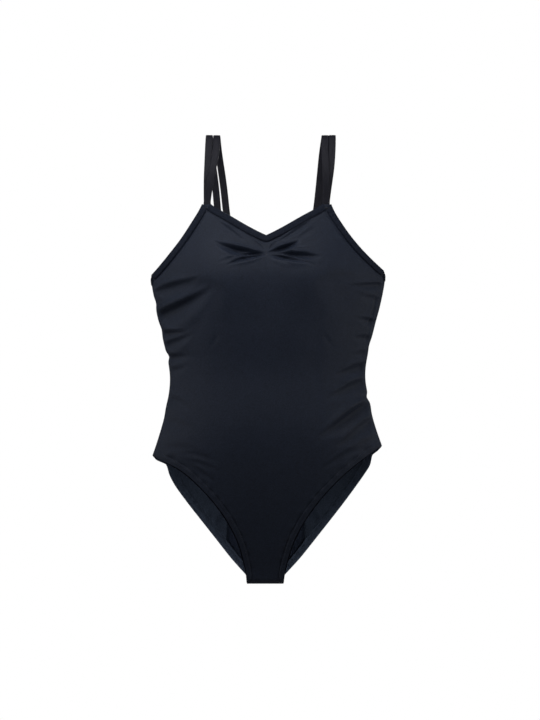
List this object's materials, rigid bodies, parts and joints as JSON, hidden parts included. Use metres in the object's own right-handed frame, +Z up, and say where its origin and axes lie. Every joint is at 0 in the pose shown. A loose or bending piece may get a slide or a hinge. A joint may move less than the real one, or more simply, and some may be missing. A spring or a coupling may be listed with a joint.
{
  "type": "gymnastics leotard",
  "caption": "Camisole leotard with a pinched V neckline, doubled shoulder straps, a low scooped back and high-cut elasticated leg openings.",
  "frame": {"origin": "on the line across the shoulders that carries the garment, midway between the straps and level with the underside of their tops", "axes": "+Z up along the body, the front of the garment faces -Y, +X is the wearer's left"},
  "size_m": [0.366, 0.1253, 0.7026],
  "materials": {
    "shell_fabric": "smooth matt-satin nylon and elastane knit, navy black",
    "lining_fabric": "matt power net",
    "binding_fabric": "self cloth folded over the edge",
    "strap_fabric": "self cloth tube",
    "elastic": "braided elastic",
    "thread": "textured polyester thread",
    "label_satin": "blank woven satin"
  },
  "bodies": {
    "root": {"back_edge_binding": "binding_fabric", "back_edge_coverstitch": "thread", "back_edge_elastic": "elastic", "back_panel": "shell_fabric", "care_label": "label_satin", "crotch_overlock": "thread", "front_panel": "shell_fabric", "gusset_lining": "lining_fabric", "left_armhole_binding": "binding_fabric", "left_armhole_coverstitch": "thread", "left_armhole_elastic": "elastic", "left_back_inner_bar_tack": "thread", "left_back_outer_bar_tack": "thread", "left_front_bar_tack": "thread", "left_inner_strap": "strap_fabric", "left_inner_strap_elastic": "elastic", "left_leg_coverstitch": "thread", "left_leg_elastic": "elastic", "left_outer_strap": "strap_fabric", "left_outer_strap_elastic": "elastic", "left_side_overlock": "thread", "neckline_binding": "binding_fabric", "neckline_coverstitch": "thread", "neckline_elastic": "elastic", "pinch_elastic": "elastic", "pinch_stitching": "thread", "right_armhole_binding": "binding_fabric", "right_armhole_coverstitch": "thread", "right_armhole_elastic": "elastic", "right_back_inner_bar_tack": "thread", "right_back_outer_bar_tack": "thread", "right_front_bar_tack": "thread", "right_inner_strap": "strap_fabric", "right_inner_strap_elastic": "elastic", "right_leg_coverstitch": "thread", "right_leg_elastic": "elastic", "right_outer_strap": "strap_fabric", "right_outer_strap_elastic": "elastic", "right_side_overlock": "thread", "shelf_bra_lining": "lining_fabric", "underbust_elastic": "elastic"}
  },
  "joints": []
}
